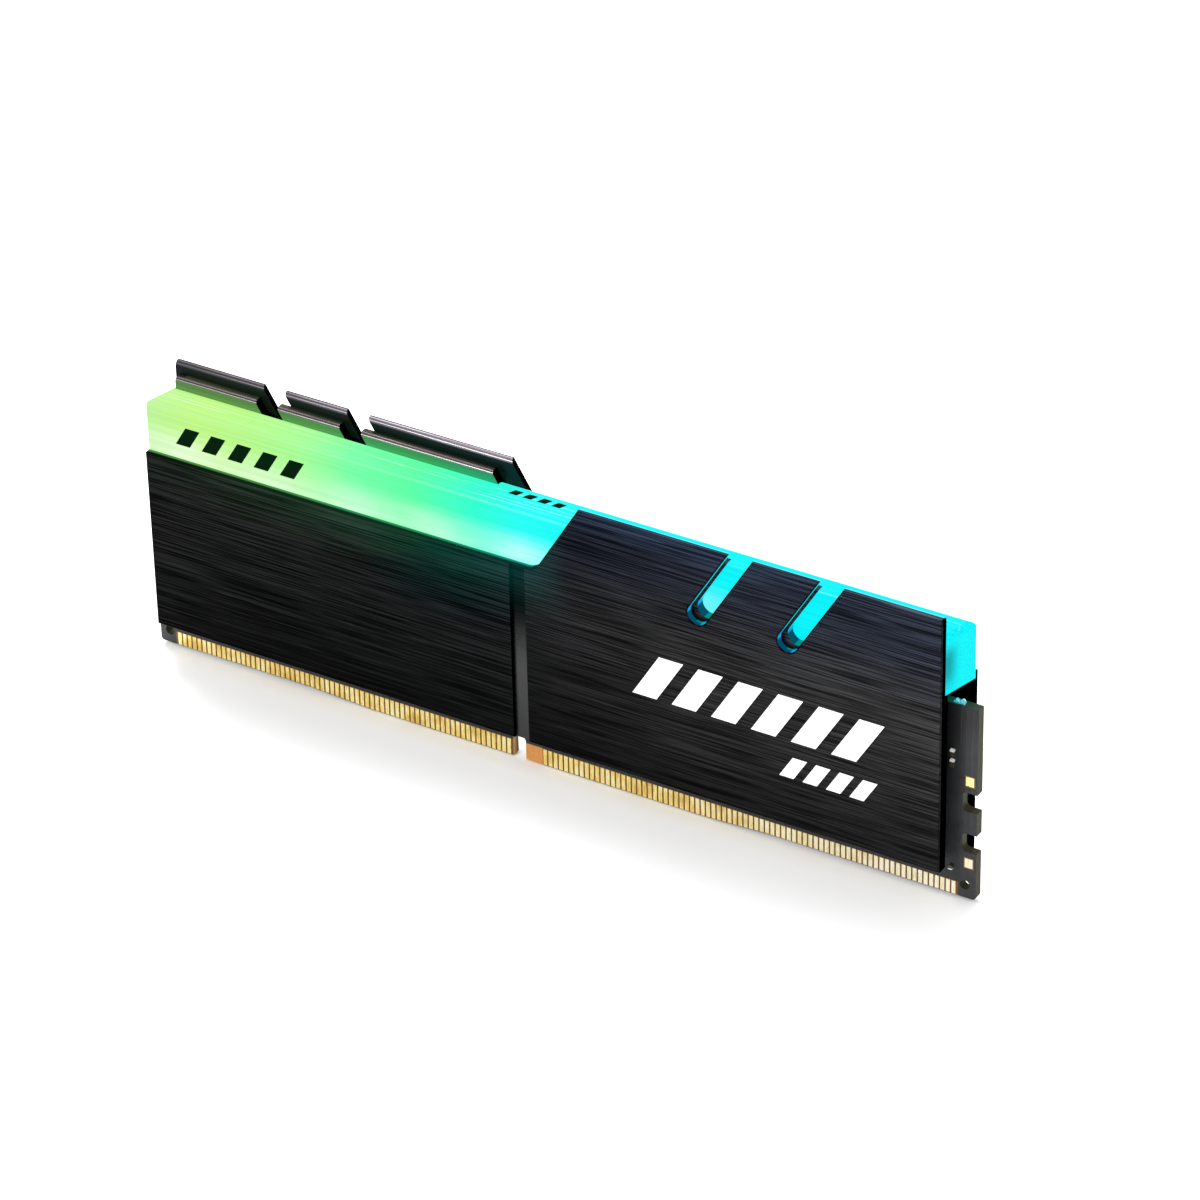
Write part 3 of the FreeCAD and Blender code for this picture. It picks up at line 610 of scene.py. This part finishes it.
def contact_gold():
    """Gold plating with wipe marks along each contact, and a painted sheen that makes it paler towards the
    high end.
    """
    finish = Finish("contact_gold")
    wipe = finish.noise((9.0, 4.0, 0.5), 3.0, 0.6)
    patch = finish.noise((0.35, 0.35, 0.35), 3.0, 0.6)
    blend = finish.math("MULTIPLY_ADD", patch, 0.5, finish.math("MULTIPLY", wipe, 0.5))
    yellow = finish.ramp(blend, [(0.36, (0.62, 0.38, 0.07)), (0.50, (0.98, 0.76, 0.24)),
                                 (0.62, (1.0, 0.96, 0.60))])
    pale = finish.ramp(blend, [(0.36, (0.80, 0.64, 0.32)), (0.50, (1.0, 0.93, 0.66)),
                               (0.62, (1.0, 1.0, 0.94))])
    # Painted sheen: paler gold towards the high end, except on the upper test pad.
    painted_sheen_end = finish.rise(finish.x, 12.0, 58.0)
    upper_pad = finish.math("MULTIPLY", finish.rise(finish.x, 64.4, 64.6), finish.rise(finish.z, 12.0, 13.0))
    painted_sheen_share = finish.math("MULTIPLY", painted_sheen_end, finish.rise(upper_pad, 0.0, 1.0, 1.0, 0.1))
    finish.set("Base Color", finish.mix(painted_sheen_share, yellow, pale))
    finish.set("Metallic", 0.85)
    finish.set("Roughness", finish.rise(wipe, 0.2, 0.8, 0.20, 0.42))
    finish.bump(wipe, 0.02, 0.5)
    return finish.material


def chip_mould():
    """Dark moulding compound with a fine grain."""
    finish = Finish("chip_mould")
    grain = finish.noise((12.0, 12.0, 12.0), 4.0, 0.7)
    swirl = finish.noise((0.6, 0.6, 0.6), 3.0, 0.6)
    finish.set("Base Color", finish.ramp(swirl, [(0.3, (0.012, 0.012, 0.013)), (0.7, (0.026, 0.026, 0.028))]))
    finish.set("Roughness", finish.rise(grain, 0.2, 0.8, 0.45, 0.70))
    finish.bump(grain, 0.02, 0.5)
    return finish.material


def terminated(name, body_tones, terminal_share, first, pitch, length):
    """A ceramic block with a tinned terminal at each end, in a row along the board."""
    finish = Finish(name)
    past = finish.repeat_place(finish.x, first, pitch)
    left_stop = length * terminal_share
    right_start = length - left_stop
    left_end = finish.rise(past, left_stop, left_stop - 0.03)
    right_end = finish.rise(past, right_start, right_start + 0.03)
    terminals = finish.math("MINIMUM", finish.math("ADD", left_end, right_end), 1.0)
    speckle = finish.noise((7.0, 7.0, 7.0), 3.0, 0.6)
    ceramic = finish.ramp(speckle, [(0.3, body_tones[0]), (0.7, body_tones[1])])
    tin = finish.ramp(speckle, [(0.3, (0.42, 0.42, 0.41)), (0.7, (0.66, 0.66, 0.65))])
    finish.set("Base Color", finish.mix(terminals, ceramic, tin))
    finish.set("Metallic", terminals)
    finish.set("Roughness", finish.rise(speckle, 0.2, 0.8, 0.30, 0.50))
    finish.bump(speckle, 0.02, 0.5)
    return finish.material


def capacitor_ceramic():
    """Light brown capacitors in a row along the board."""
    first = box_mm("capacitors_front")[0].x
    tones = ((0.19, 0.115, 0.06), (0.27, 0.17, 0.095))
    return terminated("capacitor_ceramic", tones, 0.24, first, CAPACITOR_PITCH, CAPACITOR_LENGTH)


def resistor_body():
    """Black resistor networks in a row along the board."""
    first = box_mm("resistor_networks")[0].x
    tones = ((0.010, 0.010, 0.011), (0.022, 0.022, 0.024))
    return terminated("resistor_body", tones, 0.16, first, RESISTOR_PITCH, RESISTOR_LENGTH)


def end_part_body():
    """The small parts at the board's end: the upper ones have bright tinned heads, the lower a bright foot,
    with a painted glint on them.
    """
    finish = Finish("end_part_body")
    past = finish.repeat_place(finish.z, box_mm("end_parts_upper")[0].z, END_PART_STEP)
    heads = finish.math("MULTIPLY", finish.rise(past, 0.78, 0.84), finish.rise(finish.z, 12.0, 12.1))
    lowest = box_mm("end_part_lower")[0].z
    foot = finish.rise(finish.z, lowest + 0.20, lowest + 0.14)
    terminals = finish.math("MAXIMUM", heads, foot)
    speckle = finish.noise((7.0, 7.0, 7.0), 3.0, 0.6)
    body = finish.ramp(speckle, [(0.3, (0.022, 0.020, 0.008)), (0.7, (0.060, 0.055, 0.026))])
    tin = finish.ramp(speckle, [(0.3, (0.55, 0.55, 0.53)), (0.7, (0.80, 0.80, 0.78))])
    finish.set("Base Color", finish.mix(terminals, body, tin))
    finish.set("Metallic", finish.math("MULTIPLY", terminals, 0.5))
    # Painted glint: the terminals glow white, more strongly higher up.
    finish.set("Emission Color", finish.mix(terminals, (0.0, 0.0, 0.0), (1.0, 1.0, 0.96)))
    finish.set("Emission Strength", finish.rise(finish.z, 12.0, 16.0, 0.10, 0.28))
    finish.set("Roughness", finish.rise(speckle, 0.2, 0.8, 0.22, 0.36))
    finish.bump(speckle, 0.03, 0.6)
    return finish.material


def light_housing():
    """White moulded light bodies whose windows shine in the bar's colour."""
    finish = Finish("light_housing")
    speckle = finish.noise((9.0, 9.0, 9.0), 3.0, 0.6)
    window = finish.math("MULTIPLY", finish.rise(finish.facing_z, 0.7, 0.9),
                         finish.within(finish.z, 30.95, 31.15, 0.03))
    finish.set("Base Color", finish.ramp(speckle, [(0.3, (0.70, 0.69, 0.66)), (0.7, (0.82, 0.81, 0.78))]))
    finish.set("Emission Color", finish.glow_colour())
    finish.set("Emission Strength", finish.math("MULTIPLY", window, 6.0))
    finish.set("Roughness", finish.rise(speckle, 0.2, 0.8, 0.4, 0.6))
    finish.bump(speckle, 0.02, 0.4)
    return finish.material


def thermal_pad():
    """Soft blue-grey silicone with a fine woven print."""
    finish = Finish("thermal_pad")
    cloud = finish.noise((0.5, 0.5, 0.5), 4.0, 0.6)
    warp = finish.math("SINE", finish.math("MULTIPLY", finish.x, 9.0))
    weft = finish.math("SINE", finish.math("MULTIPLY", finish.z, 9.0))
    weave = finish.math("MULTIPLY", warp, weft)
    finish.set("Base Color", finish.ramp(cloud, [(0.3, (0.16, 0.19, 0.23)), (0.7, (0.24, 0.28, 0.33))]))
    finish.set("Roughness", finish.rise(cloud, 0.2, 0.8, 0.7, 0.9))
    finish.bump(finish.math("ADD", weave, cloud), 0.02, 0.5)
    return finish.material


def solder():
    """Bright tin with a slightly uneven surface."""
    finish = Finish("solder")
    lumps = finish.noise((5.0, 5.0, 5.0), 3.0, 0.6)
    finish.set("Base Color", finish.ramp(lumps, [(0.3, (0.50, 0.50, 0.49)), (0.7, (0.78, 0.78, 0.76))]))
    finish.set("Metallic", 1.0)
    finish.set("Roughness", finish.rise(lumps, 0.2, 0.8, 0.18, 0.32))
    finish.bump(lumps, 0.05, 0.5)
    return finish.material


def mask_clearance():
    """Red-brown resin and copper that show around a pad."""
    finish = Finish("mask_clearance")
    mottle = finish.noise((6.0, 6.0, 6.0), 3.0, 0.6)
    finish.set("Base Color", finish.ramp(mottle, [(0.3, (0.10, 0.030, 0.006)), (0.7, (0.26, 0.085, 0.016))]))
    finish.set("Roughness", finish.rise(mottle, 0.2, 0.8, 0.4, 0.6))
    finish.bump(mottle, 0.02, 0.4)
    return finish.material


def lit_tin():
    """Crumpled tin next to the bar's end, washed by its light."""
    finish = Finish("lit_tin")
    lumps = finish.noise((4.0, 4.0, 4.0), 3.0, 0.6)
    finish.set("Base Color", finish.ramp(lumps, [(0.3, (0.10, 0.30, 0.32)), (0.7, (0.30, 0.62, 0.66))]))
    finish.set("Metallic", 0.8)
    finish.set("Roughness", finish.rise(lumps, 0.2, 0.8, 0.22, 0.40))
    finish.set("Emission Color", finish.glow_colour())
    finish.set("Emission Strength", finish.rise(lumps, 0.40, 0.62, 0.05, 0.55))
    finish.bump(lumps, 0.06, 0.6)
    return finish.material


# ---------------------------------------------------------------- mesh helpers


def new_piece(name, mesh_data, material):
    """A mesh that rides on the module's one body."""
    mesh = bpy.data.meshes.new(name)
    mesh_data.to_mesh(mesh)
    mesh_data.free()
    mesh.transform(Matrix.Scale(MM, 4))
    piece = bpy.data.objects.new(name, mesh)
    bpy.context.scene.collection.objects.link(piece)
    mesh.materials.append(material)
    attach(piece, "root")
    return piece


def add_ring(mesh_data, centre, outward, inner, outer, height, sides=20):
    """A flat ring that stands a little proud of a board face."""
    rings = []
    for radius, lift in ((inner, 0), (inner, height), (outer, height), (outer, 0)):
        ring = []
        for side in range(sides):
            angle = 2 * math.pi * side / sides
            across = radius * math.cos(angle)
            up = radius * math.sin(angle)
            point = Vector((centre[0] + across, centre[1] + outward * lift, centre[2] + up))
            ring.append(mesh_data.verts.new(point))
        rings.append(ring)
    for first, second in zip(rings, rings[1:] + rings[:1]):
        for side in range(sides):
            after = (side + 1) % sides
            mesh_data.faces.new((first[side], first[after], second[after], second[side]))


def add_strip(mesh_data, points, outward, depth, width, height):
    """A thin raised line through (x, z) points on a board face."""
    rows = []
    for index, (x, z) in enumerate(points):
        before = Vector(points[max(index - 1, 0)])
        after = Vector(points[min(index + 1, len(points) - 1)])
        along = (after - before).normalized()
        side = Vector((-along.y, along.x)) * width / 2
        corners = []
        for sign, lift in ((-1, 0), (-1, 1), (1, 1), (1, 0)):
            shift = side * sign
            place = Vector((x + shift.x, depth + outward * lift * height, z + shift.y))
            corners.append(mesh_data.verts.new(place))
        rows.append(corners)
    for first, second in zip(rows, rows[1:]):
        for corner in range(4):
            after = (corner + 1) % 4
            mesh_data.faces.new((first[corner], first[after], second[after], second[corner]))
    mesh_data.faces.new(rows[0])
    mesh_data.faces.new(reversed(rows[-1]))


def finished(mesh_data):
    bmesh.ops.recalc_face_normals(mesh_data, faces=mesh_data.faces)
    return mesh_data


# ---------------------------------------------------------------- pieces on the board


def make_vias(material):
    """Plated holes, covered by the solder mask, in the open strips at both ends of the board."""
    for face, outward in (("front", -1), ("rear", 1)):
        mesh_data = bmesh.new()
        depth = BOARD_HIGH.y if outward > 0 else BOARD_LOW.y
        for side in (-1, 1):
            for x, z in VIA_PLACES:
                add_ring(mesh_data, (side * x, depth, z), outward, inner=0.10, outer=0.24, height=0.03)
        new_piece(f"via_rings_{face}", finished(mesh_data), material)


def make_pad_rims(material):
    """The copper-coloured clearance in the solder mask around each test pad."""
    mesh_data = bmesh.new()
    half_width = TEST_PAD_WIDTH / 2 + PAD_RIM_GAP
    half_height = TEST_PAD_TALL / 2 + PAD_RIM_GAP
    for rise in TEST_PAD_RISES:
        add_frame(mesh_data, (TEST_PAD_X, BOARD_LOW.y, rise), half_width, half_height)
    new_piece("test_pad_rims", finished(mesh_data), material)


def add_frame(mesh_data, centre, half_width, half_height, rim=0.14, height=0.025):
    """A thin rectangular frame that stands a little proud of the board's front face."""
    loops = []
    for grow, lift in ((0, 0), (0, height), (rim, height), (rim, 0)):
        loop = []
        for across, up in ((-1, -1), (1, -1), (1, 1), (-1, 1)):
            x = centre[0] + across * (half_width + grow)
            z = centre[2] + up * (half_height + grow)
            loop.append(mesh_data.verts.new((x, centre[1] - lift, z)))
        loops.append(loop)
    for first, second in zip(loops, loops[1:] + loops[:1]):
        for side in range(4):
            after = (side + 1) % 4
            mesh_data.faces.new((first[side], first[after], second[after], second[side]))


def make_edge_tab(material):
    """A small crumpled metal tab that stands on the board's top edge, next to the plate."""
    mesh_data = bmesh.new()
    rows = []
    for y, lean in EDGE_TAB_FOLDS:
        row = []
        for x, z in EDGE_TAB_OUTLINE:
            squeeze = 1 - abs(y - EDGE_TAB_MIDDLE) * EDGE_TAB_NARROWING
            row.append(mesh_data.verts.new((EDGE_TAB_X + x + lean * z, y, BOARD_HIGH.z + z * squeeze)))
        rows.append(row)
    for first, second in zip(rows, rows[1:]):
        for index in range(len(EDGE_TAB_OUTLINE)):
            after = (index + 1) % len(EDGE_TAB_OUTLINE)
            mesh_data.faces.new((first[index], first[after], second[after], second[index]))
    mesh_data.faces.new(rows[0])
    mesh_data.faces.new(reversed(rows[-1]))
    new_piece("edge_tab", finished(mesh_data), material)


def make_traces(material):
    """Raised copper lines under the solder mask in the open end strips."""
    for face, outward in (("front", -1), ("rear", 1)):
        mesh_data = bmesh.new()
        depth = BOARD_HIGH.y if outward > 0 else BOARD_LOW.y
        for side in (-1, 1):
            for shift in (0.0, TRACE_PITCH):
                line = [(side * (x + shift), z) for x, z in TRACE_PATH]
                add_strip(mesh_data, line, outward, depth, width=0.16, height=0.025)
        new_piece(f"end_traces_{face}", finished(mesh_data), material)


def make_solder_fillets(material):
    """Small solder slopes at the foot and head of the end parts."""
    mesh_data = bmesh.new()
    for node, tall, step in (("end_part_lower", END_PART_WIDTH, END_PART_WIDTH),
                             ("end_parts_upper", END_PART_TALL, END_PART_STEP)):
        low, high = box_mm(node)
        foot = low.z
        while foot < high.z:
            for level, turn in ((foot, -1), (foot + tall, 1)):
                add_wedge(mesh_data, low.x, high.x, BOARD_LOW.y, level, turn)
            foot += step
    new_piece("solder_fillets", finished(mesh_data), material)


def add_wedge(mesh_data, left, right, depth, level, turn, run=0.18, rise=0.16, inset=0.05, steps=5):
    """A hollow-sloped solder fillet along one edge of a small part."""
    profile = []
    for step in range(steps + 1):
        angle = math.pi / 2 * step / steps
        out = run * (1 - math.sin(angle))
        lift = rise * (1 - math.cos(angle))
        profile.append((depth - rise + lift, level + turn * out))
    profile.append((depth, level))
    rows = []
    for x in (left + inset, right - inset):
        rows.append([mesh_data.verts.new((x, y, z)) for y, z in profile])
    for index in range(len(profile)):
        after = (index + 1) % len(profile)
        mesh_data.faces.new((rows[0][index], rows[0][after], rows[1][after], rows[1][index]))
    mesh_data.faces.new(rows[0])
    mesh_data.faces.new(reversed(rows[1]))


# ---------------------------------------------------------------- dressing the CAD nodes


def dress_nodes():
    """Give every CAD node its material."""
    finishes = {
        "printed_board": board_laminate(),
        "edge_contacts": contact_gold(),
        "chip": chip_mould(),
        "capacitors": capacitor_ceramic(),
        "resistor_networks": resistor_body(),
        "end_part": end_part_body(),
        "light_bar": light_bar(),
        "light": light_housing(),
        "thermal_pad": thermal_pad(),
        "heatspreader": brushed_plate(),
        "panel_marks": pale_ink(),
        "bar_marks": dark_ink(),
    }
    finishes["test_pads"] = finishes["edge_contacts"]
    chips = ("memory_chip", "presence_detect_chip", "light_controller")
    for name, node in CAD.items():
        family = "chip" if name.startswith(chips) else next(
            key for key in finishes if name.startswith(key)
        )
        node.data.materials.clear()
        node.data.materials.append(finishes[family])
    return finishes


# ---------------------------------------------------------------- stage


def make_floor():
    """A wide pale floor just below the module."""
    half_width = 4.0  # in metres
    mesh_data = bmesh.new()
    bmesh.ops.create_grid(mesh_data, x_segments=8, y_segments=8, size=half_width)
    mesh = bpy.data.meshes.new("floor")
    mesh_data.to_mesh(mesh)
    mesh_data.free()
    mesh.transform(Matrix.Translation((0, 0, -0.1 * MM)))
    floor = bpy.data.objects.new("floor", mesh)
    bpy.context.scene.collection.objects.link(floor)
    finish = Finish("pale_floor")
    speckle = finish.noise((0.02, 0.02, 0.02), 2.0, 0.5)
    finish.set("Base Color", finish.ramp(speckle, [(0.3, (0.93, 0.93, 0.93)), (0.7, (0.96, 0.96, 0.96))]))
    finish.set("Roughness", 0.8)
    mesh.materials.append(finish.material)


def add_softbox(name, place, aim, width, height, power):
    data = bpy.data.lights.new(name, "AREA")
    data.shape = "RECTANGLE"
    data.size = width
    data.size_y = height
    data.energy = power
    light = bpy.data.objects.new(name, data)
    light.location = place
    light.rotation_euler = (Vector(aim) - Vector(place)).to_track_quat("-Z", "Y").to_euler()
    bpy.context.scene.collection.objects.link(light)


def make_studio():
    world = bpy.data.worlds.new("studio")
    world.use_nodes = True
    background = world.node_tree.nodes["Background"]
    background.inputs["Color"].default_value = (1.0, 1.0, 1.0, 1.0)
    background.inputs["Strength"].default_value = 1.0
    bpy.context.scene.world = world
    bpy.context.scene.view_settings.view_transform = "Standard"
    middle = (0.0, 0.0, 0.025)
    add_softbox("overhead", (-0.25, 0.35, 0.70), middle, 0.60, 0.35, 9.0)
    add_softbox("front_key", (-0.25, -0.55, 0.50), middle, 0.22, 0.50, 3.0)


def make_camera():
    """The photograph's viewpoint: to the right of the front and above."""
    data = bpy.data.cameras.new("camera")
    data.lens = 168.0
    data.sensor_width = 36.0
    data.clip_start = 0.01
    camera = bpy.data.objects.new("camera", data)
    look = (CAMERA_AIM - CAMERA_PLACE).to_track_quat("-Z", "Y")
    camera.rotation_euler = (look @ Quaternion((0.0, 0.0, 1.0), CAMERA_ROLL)).to_euler()
    camera.location = CAMERA_PLACE
    bpy.context.scene.collection.objects.link(camera)
    bpy.context.scene.camera = camera


finishes = dress_nodes()
tin = solder()
make_vias(finishes["printed_board"])
make_pad_rims(mask_clearance())
make_edge_tab(lit_tin())
make_traces(finishes["printed_board"])
make_solder_fillets(tin)
make_floor()
make_studio()
make_camera()
